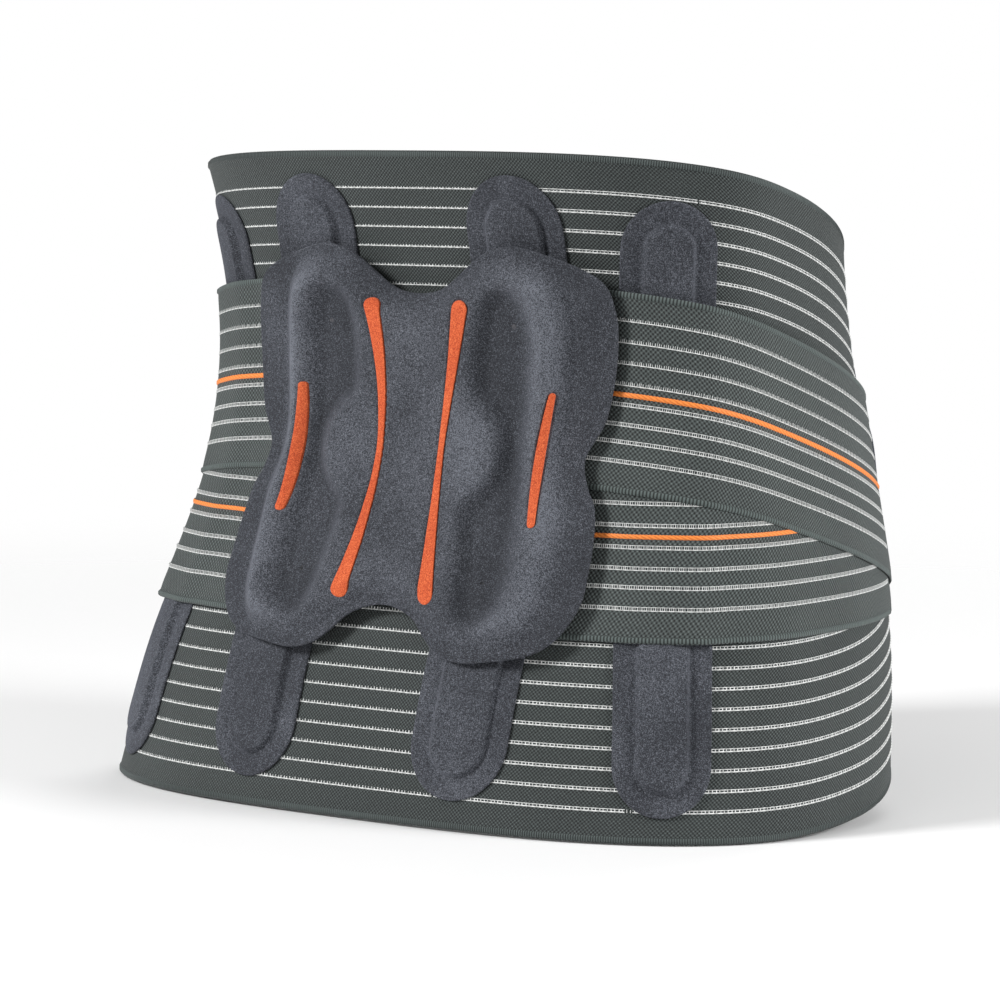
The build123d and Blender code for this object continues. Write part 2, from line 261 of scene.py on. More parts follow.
def shell(name, u, z, outer, inner, material, rise=0.0, uv=None, ring=False, attributes=()):
    """A closed sheet over grids of u and z, between two offsets; ring means closed round, rim first."""
    rows, cols = u.shape
    outer, inner = np.broadcast_to(outer, u.shape), np.broadcast_to(inner, u.shape)
    front, back = skin(u, z, outer, rise).reshape(-1, 3), skin(u, z, inner, rise).reshape(-1, 3)
    n = rows * cols
    faces = [grid_faces(rows, cols, 0, ring), grid_faces(rows, cols, n, ring, True)]
    rim = np.arange(cols)
    if not ring:
        rim = np.concatenate((
            rim, np.arange(1, rows) * cols + cols - 1,
            (rows - 1) * cols + np.arange(cols - 2, -1, -1), np.arange(rows - 2, 0, -1) * cols))
    following = np.roll(rim, -1)
    faces.append(np.stack((rim, rim + n, following + n, following), -1))
    uv = np.stack((u / 100, z / 100), -1) if uv is None else uv
    both = {key: np.tile(np.ravel(values), 2) for key, values in dict(attributes).items()}
    obj = make_object(name, (front, back), faces, material, (uv, uv), both)
    fix_normals(obj, ring)
    return obj


def fix_normals(obj, weld=False):
    bm = bmesh.new()
    bm.from_mesh(obj.data)
    if weld:
        bmesh.ops.remove_doubles(bm, verts=bm.verts, dist=2e-6)
    bmesh.ops.recalc_face_normals(bm, faces=bm.faces)
    bm.to_mesh(obj.data)
    bm.free()
    obj.data.set_sharp_from_angle(angle=math.radians(62))


def pinch(outer, inner, distance, radius):
    """Rounds an edge: both offsets draw to their middle within radius of it."""
    k = np.sqrt(np.clip(1 - (1 - np.clip(distance / radius, 0, 1)) ** 2, 0.0004, 1))
    middle = (outer + inner) / 2
    return middle + (outer - middle) * k, middle + (inner - middle) * k


def edged(n, width, edge=1.2):
    """n places across a width, with extra ones close to both edges, as distances from the first."""
    near = np.array((0, 0.08, 0.25, 0.5, 0.8, 1.0)) * edge
    return np.concatenate((near, np.linspace(edge, width - edge, n)[1:-1], (width - near)[::-1]))


def tube(centre, side_way, up_way, profile):
    """Points of a tube along a centre line; profile is a closed loop of (side, up) offsets."""
    return centre[:, None] + profile[..., 0:1] * side_way[:, None] + profile[..., 1:2] * up_way[:, None]


def unit(vectors):
    return vectors / np.linalg.norm(vectors, axis=1)[:, None]


def frame_along(u, z, off, rise=0.0):
    """Points on the skin along a path, with the tangent, outward and across directions."""
    p = skin(u, z, off, rise)
    tangent = unit(np.gradient(p, axis=0))
    outward = skin(u, z, np.asarray(off) + 1.0, rise) - p
    outward = unit(outward - (outward * tangent).sum(1)[:, None] * tangent)
    return p, tangent, outward, np.cross(tangent, outward)


def ribbon(name, u, z, off, width, height, material, rise, sides=6):
    """A raised round-topped band along a path."""
    p, _, outward, sideways = frame_along(u, z, off, rise)
    a = np.linspace(0, 2 * math.pi, sides, endpoint=False)
    profile = np.stack((np.cos(a) * 0.5, np.sin(a) * 0.5), -1)
    size = np.stack((np.broadcast_to(width, len(p)), np.broadcast_to(height, len(p))), -1)
    points = tube(p, sideways, outward, profile[None] * size[:, None, :])
    length = travelled(p)
    uv = np.stack(np.broadcast_arrays(length[:, None] / 100, (np.arange(sides) / sides)[None] * 0.1), -1)
    ends = np.arange(sides) + np.array(((0,), (len(p) - 1,))) * sides
    obj = make_object(name, points, [grid_faces(len(p), sides, 0, True), ends], material, uv)
    fix_normals(obj)
    return obj


# ---- materials
def new_material(name):
    """A material, as functions that add a node, add a sum, and finish it."""
    material = bpy.data.materials.new(name)
    material.use_nodes = True
    nodes, links = material.node_tree.nodes, material.node_tree.links
    shader = nodes["Principled BSDF"]

    def put(node, inputs):
        for key, value in dict(inputs).items():
            if isinstance(value, bpy.types.NodeSocket):
                links.new(value, node.inputs[key])
            else:
                node.inputs[key].default_value = value

    def add(kind, inputs=(), **settings):
        node = nodes.new("ShaderNode" + kind)
        for key, value in settings.items():
            setattr(node, key, value)
        put(node, inputs)
        return node

    def calc(operation, *values):
        return add("Math", dict(enumerate(values)), operation=operation).outputs[0]

    def finish(inputs, height=None, strength=0.0, depth_mm=0.0, invert=False):
        """Sets the shader's inputs, and gives it relief where there is a height."""
        put(shader, inputs)
        if height is not None:
            relief = {"Strength": strength, "Distance": depth_mm * MM, "Height": height}
            bump = add("Bump", relief, invert=invert)
            links.new(bump.outputs["Normal"], shader.inputs["Normal"])
        return material

    return add, calc, finish


def ramp(add, factor, stops):
    node = add("ValToRGB", {"Fac": factor})
    elements = node.color_ramp.elements
    elements[0].position, elements[0].color = stops[0][0], (*stops[0][1], 1)
    elements[1].position, elements[1].color = stops[-1][0], (*stops[-1][1], 1)
    for position, colour in stops[1:-1]:
        elements.new(position).color = (*colour, 1)
    return node.outputs["Color"]


def knit_material(name, dark, mid, light, across_mm=1.62, down_mm=1.5):
    """Warp knit: a staggered lattice of small holes over a fine heather, on the mesh's own UVs."""
    add, calc, finish = new_material(name)
    place = add("UVMap", uv_map=UV).outputs["UV"]
    parts = add("SeparateXYZ", {"Vector": place})
    waves = []
    for axis, period in (("X", across_mm), ("Y", down_mm)):
        turn = calc("MULTIPLY", parts.outputs[axis], 2 * math.pi * 100 / period)
        waves.append(calc("COSINE", turn))
    lattice = calc("MULTIPLY", *waves)
    heather = add("TexNoise", {"Vector": place, "Scale": 95.0, "Detail": 3.0}).outputs["Fac"]
    broad = add("TexNoise", {"Vector": place, "Scale": 2.2, "Detail": 2.0}).outputs["Fac"]
    height = calc("MULTIPLY_ADD", lattice, -0.5, 0.5)
    tone = calc("MULTIPLY_ADD", heather, 0.55, height)
    tone = calc("MULTIPLY", calc("MULTIPLY_ADD", broad, 0.22, tone), 0.56)
    colour = ramp(add, tone, ((0.31, dark), (0.45, mid), (0.62, mid), (0.80, light)))
    looks = {"Base Color": colour, "Roughness": 0.82, "Sheen Weight": 0.12, "Sheen Roughness": 0.5}
    return finish(looks, height, 0.9, 0.5)


def felt_material(name, dark, mid, light, grain, sheen, bump_mm=0.16):
    """Brushed heathered felt: fine fibre speckle, soft broad mottling, and painted highlight and shade read
    from a mesh attribute.
    """
    add, calc, finish = new_material(name)
    place = add("TexCoord").outputs["Object"]
    fine, fibre, broad = (add("TexNoise", {"Vector": place, **noise}).outputs["Fac"] for noise in (
        {"Scale": 2300.0 * grain, "Detail": 4.0, "Roughness": 0.65},
        {"Scale": 1150.0 * grain, "Detail": 3.0, "Distortion": 1.6},
        {"Scale": 28.0, "Detail": 3.0}))
    tone = calc("MULTIPLY_ADD", broad, 0.22, calc("MULTIPLY_ADD", fibre, 0.45, fine))
    # painted highlight and shade: the mesh attribute lightens the felt where light would fall and darkens it
    # where shade would fall
    painted_light = add("Attribute", attribute_name="painted_light").outputs["Fac"]
    tone = calc("MULTIPLY_ADD", painted_light, 0.055, calc("MULTIPLY", tone, 0.6))
    colour = ramp(add, tone, ((0.39, dark), (0.5, mid), (0.62, light)))
    looks = {"Base Color": colour, "Roughness": 0.92, "Sheen Weight": sheen, "Sheen Roughness": 0.45,
             "Sheen Tint": (0.75, 0.8, 1.0, 1.0)}
    return finish(looks, fine, 0.7, bump_mm)


def thread_material(name, dark, light, twist_mm=0.9, roughness=0.6, bands="DIAGONAL"):
    """Thread with a twist along its length, or ribs across it where bands is X."""
    add, _, finish = new_material(name)
    place = add("UVMap", uv_map=UV).outputs["UV"]
    wave = add("TexWave", {"Vector": place, "Scale": 100 / twist_mm / 6.28, "Distortion": 0.6},
               bands_direction=bands).outputs["Fac"]
    colour = ramp(add, wave, ((0.1, dark), (0.75, light)))
    return finish({"Base Color": colour, "Roughness": roughness, "Sheen Weight": 0.1}, wave, 0.6, 0.2)


def solid_material(name, dark, light, scale, roughness, metallic=0.0, stretch=(1, 1, 1)):
    """Hard or moulded surface with fine grain and slight wear."""
    add, calc, finish = new_material(name)
    place = add("Mapping", {"Vector": add("TexCoord").outputs["Object"], "Scale": stretch}).outputs["Vector"]
    grain = add("TexNoise", {"Vector": place, "Scale": scale, "Detail": 5.0}).outputs["Fac"]
    colour = ramp(add, grain, ((0.3, dark), (0.7, light)))
    rough = calc("MULTIPLY_ADD", grain, 0.2, roughness - 0.1)
    return finish({"Base Color": colour, "Roughness": rough, "Metallic": metallic}, grain, 0.5, 0.03)


def tape_material(name, dark, light, pitch_mm):
    """Hook tape: close rows of small stems."""
    add, _, finish = new_material(name)
    place = add("UVMap", uv_map=UV).outputs["UV"]
    cells = add("TexVoronoi", {"Vector": place, "Scale": 100 / pitch_mm, "Randomness": 0.35})
    cells = cells.outputs["Distance"]
    colour = ramp(add, cells, ((0.05, light), (0.6, dark)))
    return finish({"Base Color": colour, "Roughness": 0.7}, cells, 0.9, 0.4, invert=True)


HOLE = (0.002, 0.003, 0.003)
KNIT = knit_material("knit", HOLE, (0.034, 0.043, 0.042), (0.115, 0.138, 0.134))
STRAP_KNIT = knit_material("strap_knit", HOLE, (0.050, 0.062, 0.060), (0.145, 0.172, 0.166), 1.75, 1.95)
HEM = thread_material("hem_thread", (0.012, 0.016, 0.016), (0.075, 0.093, 0.09), 0.5, 0.85, "X")
WELT = thread_material("welt_thread", (0.010, 0.014, 0.013), (0.10, 0.125, 0.12), 0.71, 0.85, "X")
WHITE = thread_material("white_thread", (0.55, 0.56, 0.55), (0.82, 0.83, 0.82))
ORANGE = thread_material("orange_thread", (0.72, 0.17, 0.02), (0.92, 0.27, 0.045), 0.65)
FELT = felt_material("felt", (0.006, 0.007, 0.010), (0.027, 0.030, 0.038), (0.150, 0.160, 0.188), 1.0, 0.12)
INLAY = felt_material("inlay_felt", (0.34, 0.04, 0.010), (0.58, 0.088, 0.022), (0.82, 0.20, 0.065), 1.0, 0.08)
LOOP = felt_material("loop_fabric", (0.016, 0.018, 0.020), (0.04, 0.045, 0.05), (0.085, 0.092, 0.1),
                     0.6, 0.35, 0.3)
HOOK = tape_material("hook_tape", (0.012, 0.012, 0.014), (0.06, 0.062, 0.068), 1.3)
STITCH = thread_material("stitch_thread", (0.05, 0.055, 0.06), (0.13, 0.14, 0.15), 0.7)
FOAM = felt_material("foam", (0.03, 0.03, 0.035), (0.06, 0.06, 0.068), (0.09, 0.09, 0.1), 0.35, 0.05, 0.5)
STEEL = solid_material("spring_steel", (0.42, 0.43, 0.44), (0.62, 0.63, 0.64), 900.0, 0.35, 1.0, (1, 1, 0.02))
CAP = solid_material("dipped_cap", (0.015, 0.015, 0.016), (0.03, 0.03, 0.032), 700.0, 0.5)
PLATE = solid_material("stiffener_plate", (0.03, 0.031, 0.035), (0.055, 0.056, 0.062), 400.0, 0.55)


def bend_round(obj, side, nodes=()):
    """The piece's transform is baked into its mesh, and the CAD nodes it stands for are hidden."""
    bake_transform(obj)
    return dress(obj, nodes)


def carry(obj, body, nodes=()):
    """The piece moves with one body."""
    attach(obj, body)
    return dress(obj, nodes)


def dress(obj, nodes):
    if nodes:
        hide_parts(*nodes)
    return obj


# ---- cloth
KNIT_STRETCH = 1.12     # how much longer round the worn knit is than its cut


def cloth_area(obj):
    return sum(face.area for face in obj.data.polygons) / 2


def stretched(obj, width, height, extras):
    """Works out an elastic sheet's cut and area, which nothing uses; width round the body is as worn, in mm,
    and height is up it.
    """
    cut = (width * MM / KNIT_STRETCH, height * MM)
    area = min(cloth_area(obj) / KNIT_STRETCH, cut[0] * cut[1])
    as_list(extras)


# ---- knit panels
PANEL_SEAM_U = 128.0
KNIT_THICKNESS = 1.5
KNIT_HEIGHT = 284.0     # of the cut, up the slope of the hips


def belt_v(u, z):
    """Height on the cloth, counted from the nearer edge, so that the pattern follows both edges."""
    return np.minimum(belt_top(u) - z, z - belt_bottom(u))


def wing_grid(side, q, s):
    """u and z over a wing, q from the seam to the front end, s from the bottom to the top edge."""
    q, s = np.meshgrid(q, s)
    z = -120 + 240 * s
    for turn in range(30):
        u = PANEL_SEAM_U + q * (end_u(z) - PANEL_SEAM_U)
        z = 0.5 * z + 0.5 * (belt_bottom(u) + s * (belt_top(u) - belt_bottom(u)))
    return side * u, z


rows_s = np.unique(np.concatenate([
    np.linspace(*span) for span in ((0, 0.03, 8), (0.03, 0.97, 90), (0.97, 1, 8))]))
u, s = np.meshgrid(np.linspace(-PANEL_SEAM_U, PANEL_SEAM_U, 150), rows_s)
z = belt_bottom(u) + s * (belt_top(u) - belt_bottom(u))
outer, inner = pinch(0.0, -KNIT_THICKNESS, belt_v(u, z), 0.8)
uv = np.stack((u / 100, belt_v(u, z) / 100), -1)
knit_back = shell("knit_back", u, z, outer, inner, KNIT, uv=uv)
carry(knit_back, "back", ["back_knit_panel"])
knits, trims = {"back": knit_back}, {"back": [], "right": [], "left": []}
for name, side in SIDES.items():
    u, z = wing_grid(side, np.linspace(0, 1, 190), rows_s)
    to_end = np.abs(end_u(z)) - np.abs(u)
    outer, inner = pinch(0.0, -KNIT_THICKNESS, np.minimum(belt_v(u, z), np.maximum(to_end, 0)), 0.8)
    uv = np.stack((u / 100, belt_v(u, z) / 100), -1)
    rise = rise_of(side)
    panel = shell(f"knit_{name}", u, z, outer, inner, KNIT, rise, uv)
    knits[name] = bend_round(panel, side, [f"{name}_wing_knit"])


# ---- ribbed hems
RIB_PITCH = 0.98
HEM_TALL, HEM_THICK = 3.0, 2.2


def ribbed(name, u, z, rise, tall, thick, off=-KNIT_THICKNESS / 2, pitch=RIB_PITCH, depth=0.10, material=HEM):
    """A ribbed welt along a path; its ribs stand square to the path."""
    p = skin(u, z, off, rise)
    length = travelled(p)
    steps = max(int(length[-1] / pitch * 4), 10)
    even = np.linspace(0, length[-1], steps)
    u, z, off = resampled(even, length, u, z, off)
    wave = 1 + depth * np.cos(2 * math.pi * even / pitch)
    return ribbon(name, u, z, off, tall, thick * wave, material, rise)


def hem_z(u, top):
    """Height of the middle of the top or bottom hem."""
    return belt_top(u) - HEM_TALL / 2 if top else belt_bottom(u) + HEM_TALL / 2


def hem_path(side, top):
    """Path of a wing's hem, from the back panel to the front end."""
    last = 460.0
    for turn in range(30):
        z_end = belt_top(last) if top else belt_bottom(last)
        last = 0.5 * last + 0.5 * float(end_u(z_end))
    u = np.linspace(PANEL_SEAM_U, last - 1.0, 400)
    return side * u, hem_z(u, top)


for edge, top in (("top", True), ("bottom", False)):
    u = np.linspace(-PANEL_SEAM_U, PANEL_SEAM_U, 400)
    hem = ribbed(f"hem_{edge}_back", u, hem_z(u, top), 0.0, HEM_TALL, HEM_THICK)
    trims["back"].append(carry(hem, "back"))
    for name, side in SIDES.items():
        hem = ribbed(f"hem_{edge}_{name}", *hem_path(side, top), rise_of(side), HEM_TALL, HEM_THICK)
        trims[name].append(bend_round(hem, side))

# ---- white thread lines with their loops
TOP_FIRST, TOP_PITCH = 14.9, 7.7
BOTTOM_FIRST, BOTTOM_PITCH = 11.8, 7.55
CHAIN_FROM_U = 44.0
TICK_PITCH, TICK_TALL = 1.5, 1.0
LOOP_HALF = 0.42
PROUD = 0.22
FINER = 0.62


def thread_rows(name, paths, rise, chained, thread=0.5, tick=TICK_TALL, pitch=TICK_PITCH, loops=False):
    """Thin lines along paths, each with small upright stitches above it, or pairs of them, as open loops.

    A path whose number is in chained has a second, finer line along the stitches' tips.
    """
    parts = []
    line = np.array(((-0.5, 0), (0, 0.5), (0.5, 0), (0, -0.5))) * thread
    box = np.array(((3, 2, 6, 7), (0, 3, 7, 4), (2, 1, 5, 6), (7, 6, 5, 4)))
    upper = [(paths[k][0], paths[k][1] + tick, paths[k][2], FINER) for k in chained]
    for u, z, off, share in [(*path, 1.0) for path in paths] + upper:
        length = travelled(skin(u, z, off, rise))
        if length[-1] < 3 * pitch:
            continue
        even = np.arange(0, length[-1], 3.0)
        ue, ze, oe = resampled(even, length, u, z, off)
        p, _, outward, sideways = frame_along(ue, ze, oe + PROUD * 0.5, rise)
        uv = np.stack(np.broadcast_arrays(even[:, None] / 100, np.zeros((1, 4))), -1)
        parts.append((tube(p, sideways, outward, line * share), grid_faces(len(p), 4, 0, True), uv))
        if share < 1:
            continue
        at = np.arange(0.8, length[-1] - 0.5, pitch)
        at = at + 0.12 * np.sin(at * 1.7)
        if loops:
            at = np.sort(np.concatenate((at - LOOP_HALF, at + LOOP_HALF)))
        p, tangent, outward, sideways = frame_along(*resampled(at, length, u, z, off), rise)
        tall = tick * (0.85 + 0.3 * np.abs(np.sin(at * 0.9)))[:, None]
        way = sideways * np.sign(sideways[:, 2:3])
        half, high, sunk = (0.11 if loops else 0.18) * tangent, PROUD * outward, -0.2 * outward
        corners = np.stack([
            end + across * slim * half + lift
            for end, slim, top in ((p - 0.15 * way, 1.0, high), (p + tall * way, 0.7, 0.6 * high))
            for across, lift in ((-1, sunk), (1, sunk), (1, top), (-1, top))], 1)
        stitch_faces = box[None] + 8 * np.arange(len(p))[:, None, None]
        parts.append((corners, stitch_faces, np.tile(at[:, None, None] / 100, (1, 8, 2))))
    return joined(name, parts, WHITE, smooth_faces=False)


PANEL_Z, PANEL_HEIGHT = -12.0, 132.0
UNDER_PANEL = 16.0


def belt_lines(first_u, last_u, side):
    """Paths of the belt's white lines between two distances round it, on one side."""
    u = np.linspace(first_u, last_u, 240)
    paths = []
    top, bottom = belt_top(u), belt_bottom(u)
    middle = (top + bottom) / 2
    for row in range(18):
        upper, lower = top - TOP_FIRST - TOP_PITCH * row, bottom + BOTTOM_FIRST + BOTTOM_PITCH * row
        for z, keep in ((upper, upper > middle + 2), (lower, lower < middle - 2)):
            behind = np.abs(z - PANEL_Z) < PANEL_HEIGHT / 2 + 1
            keep = keep & (np.abs(u) < end_u(z) - np.where(behind, UNDER_PANEL, 3.0))
            if keep.sum() > 3:
                paths.append((side * u[keep], z[keep], 0.0))
    return paths


plain = belt_lines(-PANEL_SEAM_U, CHAIN_FROM_U, 1)
chain = belt_lines(CHAIN_FROM_U, PANEL_SEAM_U, 1)
rows = thread_rows("white_lines_back", plain + chain, 0.0, range(len(plain), len(plain + chain)))
trims["back"].append(carry(rows, "back"))
for name, side in SIDES.items():
    paths = belt_lines(PANEL_SEAM_U, 470.0, side)
    rows = thread_rows(f"white_lines_{name}", paths, rise_of(side), range(len(paths)))
    trims[name].append(bend_round(rows, side))
for name, panel in knits.items():
    wide = 2 * PANEL_SEAM_U if name == "back" else END_U.max() - PANEL_SEAM_U
    stretched(panel, wide, KNIT_HEIGHT, trims[name])

# ---- stay pockets
POCKET_HALF = {"spine": 22.0, "side": 19.0}
POCKET_ENDS = {"spine": (121.5, -119.5), "side": (112.0, -121.0)}
SIDE_POCKET_TOP = Vector((114.7, -49.9, 113.0))
SIDE_POCKET_BOTTOM = Vector((135.6, -83.0, -121.0))
SIDE_POCKET_FACING = Vector((0.6, -0.8, 0.0))
RIM_WIDE, RIM_HIGH = 8.6, 1.35
POCKET_HIGH = 3.45


def stadium_rings(half, length, distances, straight=90, cap=36):
    """Rings inside a round-ended outline, at distances in from its edge, as (p, q) about its centre."""
    reach = length / 2 - half
    a = np.linspace(0, math.pi, cap)
    line = np.linspace(-1, 1, straight)[1:-1]
    rings = []
    for w in half - distances:
        right = np.stack((np.full(straight - 2, w), line * reach), -1)
        top = np.stack((w * np.cos(a), reach + w * np.sin(a)), -1)
        rings.append(np.vstack((right, top, -right, -top)))
    return np.array(rings)


# A side pocket's stay is straight, so its centre line is where an upright plane cuts the skin
stay_way = (SIDE_POCKET_TOP - SIDE_POCKET_BOTTOM).normalized()
facing = SIDE_POCKET_FACING - stay_way * SIDE_POCKET_FACING.dot(stay_way)
across_plane = np.array(stay_way.cross(facing))
side_u = np.arange(60.0, 200.0, 0.1)
SIDE_LINE_Z = np.linspace(-135, 125, 53)
SIDE_LINE_U = np.array([
    side_u[np.argmin(np.abs((skin(side_u, height, 1.0) - np.array(SIDE_POCKET_BOTTOM)) @ across_plane))]
    for height in SIDE_LINE_Z])


def pocket_centre(place, q):
    """Distance round to a pocket's centre line at height q."""
    if place == "spine":
        return 50.9 - 0.0065 * q
    return np.interp(q, SIDE_LINE_Z, SIDE_LINE_U)


def pocket(name, place, side):
    half, (top, bottom) = POCKET_HALF[place], POCKET_ENDS[place]
    middle, length = (top + bottom) / 2, top - bottom
    d = np.unique(np.concatenate((
        np.linspace(0, 1.1, 7), np.linspace(1.1, RIM_WIDE, 8), np.linspace(RIM_WIDE, RIM_WIDE + 4.5, 16),
        np.linspace(RIM_WIDE + 4.5, half, 8))))
    rings = stadium_rings(half, length, d)
    q = middle + rings[..., 1]
    u = side * (pocket_centre(place, q) + rings[..., 0])
    dd = d[:, None]
    rise_in = smooth(dd, RIM_WIDE - 0.3, RIM_WIDE + 2.3)
    crease = 0.4 * np.exp(-((dd - RIM_WIDE + 0.5) / 0.8) ** 2)
    outer = RIM_HIGH + (POCKET_HIGH - RIM_HIGH) * rise_in - crease
    outer = outer + 0.18 * smooth(dd, RIM_WIDE + 3, half) + 0.05 * np.sin(q * 0.11 + 3 * side) * rise_in
    inner = 0.12 + 1.75 * smooth(dd, RIM_WIDE + 0.6, RIM_WIDE + 3.6)
    outer, inner = pinch(outer, inner, dd, 1.1)
    obj = shell(f"{name}_{place}_pocket_felt", u, q, outer, inner, FELT, ring=True)
    carry(obj, "back", [f"{name}_{place}_pocket"])


for name, side in SIDES.items():
    for place in POCKET_HALF:
        pocket(name, place, side)


def over_pockets(u, z):
    """1 over a stay pocket, 0 clear of them, smooth between."""
    return np.maximum(*(
        1 - smooth(np.abs(np.abs(u) - pocket_centre(place, z)), half - 9, half + 7)
        for place, half in POCKET_HALF.items()))


# ---- tension straps
PAD_X = 6.5             # the pad and what is behind it sit off the spine
STRAP_WIDTH = 79.0
# Height of a strap's middle, its fall towards the front, its start beside the pad, how far it stands off
STRAPS = {"upper": (22.0, 0.29, 30.0, 3.2), "lower": (-17.0, 0.0, 34.0, 2.1)}
STRAP_END_X, NEAR_STRAP_END_U = 100.0, 290.0
ORANGE_FROM_TOP = STRAP_WIDTH / 2
WHITE_FROM_ORANGE = (-28.5, -20.2, -12.0, -3.7, 4.5, 12.4, 19.4, 27.3)
STRAP_THICK = 0.95


def strap_off(level, u, z):
    """How far a strap's outer face stands off the knit."""
    base = STRAPS[level][3]
    past_pocket = np.abs(u) - pocket_centre("side", z) - 0.8 * POCKET_HALF["side"]
    bridge = 1.8 * np.exp(-(past_pocket / 12.0) ** 2)
    return base + 2.1 * over_pockets(u, z) + bridge - 0.35 * smooth(np.abs(u), 150, 200) * (level == "lower")


def strap_z(level, u, v, off=3.0):
    """Height on a strap at distance v below its top edge."""
    centre, fall, start, base = STRAPS[level]
    z = np.full(np.broadcast(u, v).shape, centre, float) + STRAP_WIDTH / 2 - v
    for turn in range(25):
        y = skin(u, z, off)[..., 1]
        z = 0.4 * z + 0.6 * (centre - fall * y + STRAP_WIDTH / 2 - v)
    return z


def strap(name, level, side):
    rise = rise_of(side)
    v_line = edged(44, STRAP_WIDTH, 1.2)
    v_ends = np.array((0.0, STRAP_WIDTH / 2, STRAP_WIDTH))
    tab_z = strap_z(level, np.full(3, NEAR_STRAP_END_U), v_ends)
    last = u_at_front_x(STRAP_END_X, tab_z)
    q, v = np.meshgrid(np.linspace(0, 1, 230), v_line)
    first = STRAPS[level][2] + side * PAD_X + 1.0
    u = first + q * (np.interp(v, v_ends, last) - first)
    z = strap_z(level, u, v)
    off = strap_off(level, u, z)
    cup = 0.25 * (1 - smooth(np.minimum(v, STRAP_WIDTH - v), 0, 7))
    outer, inner = pinch(off - cup, off - STRAP_THICK - cup, np.minimum(v, STRAP_WIDTH - v), 0.7)
    uv = np.stack((u / 100, v / 100), -1)
    body = shell(f"{name}_{level}_strap", side * u, z, outer, inner, STRAP_KNIT, rise, uv)
    bend_round(body, side, [f"{name}_{level}_strap_back", f"{name}_{level}_strap_side"])
    line_u = np.linspace(first, float(last.min()) - 0.5, 320)

    def path(v_at, lift=0.0):
        zz = strap_z(level, line_u, np.full_like(line_u, v_at))
        return side * line_u, zz, strap_off(level, line_u, zz) + lift

    whites = [path(ORANGE_FROM_TOP + below) for below in WHITE_FROM_ORANGE]
    chained = range(4, 8) if level == "upper" else range(8)
    rows = thread_rows(f"{name}_{level}_strap_white", whites, rise, chained, 0.4, 1.3, 1.75, loops=True)
    extras = [bend_round(rows, side)]
    orange = path(ORANGE_FROM_TOP, 0.12)
    length = travelled(skin(*orange, rise))
    even = np.arange(0, length[-1], 0.35)
    wave = 1 + 0.10 * np.sin(2 * math.pi * even / 1.3)
    thread = ribbon(
        f"{name}_{level}_strap_orange", *resampled(even, length, *orange), 1.95 * wave, 0.95, ORANGE, rise)
    extras.append(bend_round(thread, side))
    for edge, v_at in (("top", 1.1), ("bottom", STRAP_WIDTH - 1.1)):
        u, z, off = path(v_at, -0.4)
        welt = ribbed(f"{name}_{level}_strap_{edge}_welt", u, z, rise, 2.3, 1.3, off, 1.4, 0.2, WELT)
        extras.append(bend_round(welt, side))
    stretched(body, length[-1] + 2, STRAP_WIDTH + 1, extras)


for name, side in SIDES.items():
    for level in ("lower", "upper"):
        strap(name, level, side)

# ---- rectangles on the belt
def rounded_rings(width, height, radius, step=2.2):
    """Rings inside a rounded rectangle, from its edge to its middle, as (x, y) about its centre."""
    short = min(width, height) / 2
    d = np.unique(np.concatenate((np.linspace(0, 1.0, 6), np.arange(1.0 + step, short - 0.3, step), [short])))
    rings = []
    n_x, n_y, n_c = max(int(width / step), 6), max(int(height / step), 6), 9
    for di in d:
        w, h = width / 2 - di, height / 2 - di
        r = max(min(radius - di, w, h), 0.0)
        corners = [(w - r, h - r, 0), (-(w - r), h - r, 1), (-(w - r), -(h - r), 2), (w - r, -(h - r), 3)]
        ring = []
        for k, (cx, cz, quarter) in enumerate(corners):
            a = np.linspace(0, math.pi / 2, n_c) + quarter * math.pi / 2
            arc = np.stack((cx + r * np.cos(a), cz + r * np.sin(a)), -1)
            nx, nz, following = corners[(k + 1) % 4]
            start = following * math.pi / 2
            after = np.array((nx + r * math.cos(start), nz + r * math.sin(start)))
            n = n_x if k % 2 == 0 else n_y
            t = np.linspace(0, 1, n)[1:-1, None]
            ring += [arc, arc[-1] * (1 - t) + after * t]
        rings.append(np.vstack(ring))
    return d, np.array(rings)


PATCH_STEP = 8.0
PATCH_Z = np.arange(-90.0, 71.0, PATCH_STEP)
PATCH_U = np.arange(190, U_LAST + 1)
PATCH_X = skin(PATCH_U[None], PATCH_Z[:, None])[..., 0]


def front_u(x, z):
    """Distance round to the front point with that x, at height z, both arrays; x runs past the middle."""
    at = np.clip((z - PATCH_Z[0]) / PATCH_STEP, 0, len(PATCH_Z) - 1.001)
    low = at.astype(int)
    rows = np.array([np.interp(-x, -row_x, PATCH_U) for row_x in PATCH_X])
    below, above = (np.take_along_axis(rows, row[None], 0)[0] for row in (low, low + 1))
    return below * (1 - at + low) + above * (at - low)


def patch_u(side, x, z):
    """Distance round to a point of a patch; side is 0 on the back, and a wing's own on the front."""
    return x if side == 0 else side * front_u(side * x, z)


def patch(name, side, x, z, size, radius, layer, material, crown=0.0, wavy=0.0):
    """A closed rounded sheet filling a layer over the knit, crowned in the middle."""
    d, rings = rounded_rings(*size, radius)
    px, pz, d = x + rings[..., 0], z + rings[..., 1], d[:, None]
    swell = np.sin(px * 0.13 + 0.4) * np.sin(pz * 0.09) * smooth(d, 2, 12)
    outer = layer[1] + crown * smooth(d, 1, 16) + wavy * swell
    outer, inner = pinch(outer, layer[0], d, 0.9)
    uv = np.stack((px / 100, pz / 100), -1)
    return shell(name, patch_u(side, px, pz), pz, outer, inner, material, rise_of(side), uv, ring=True)


STITCH_PITCH, STITCH_LONG, STITCH_HALF = 2.9, 2.0, 0.28


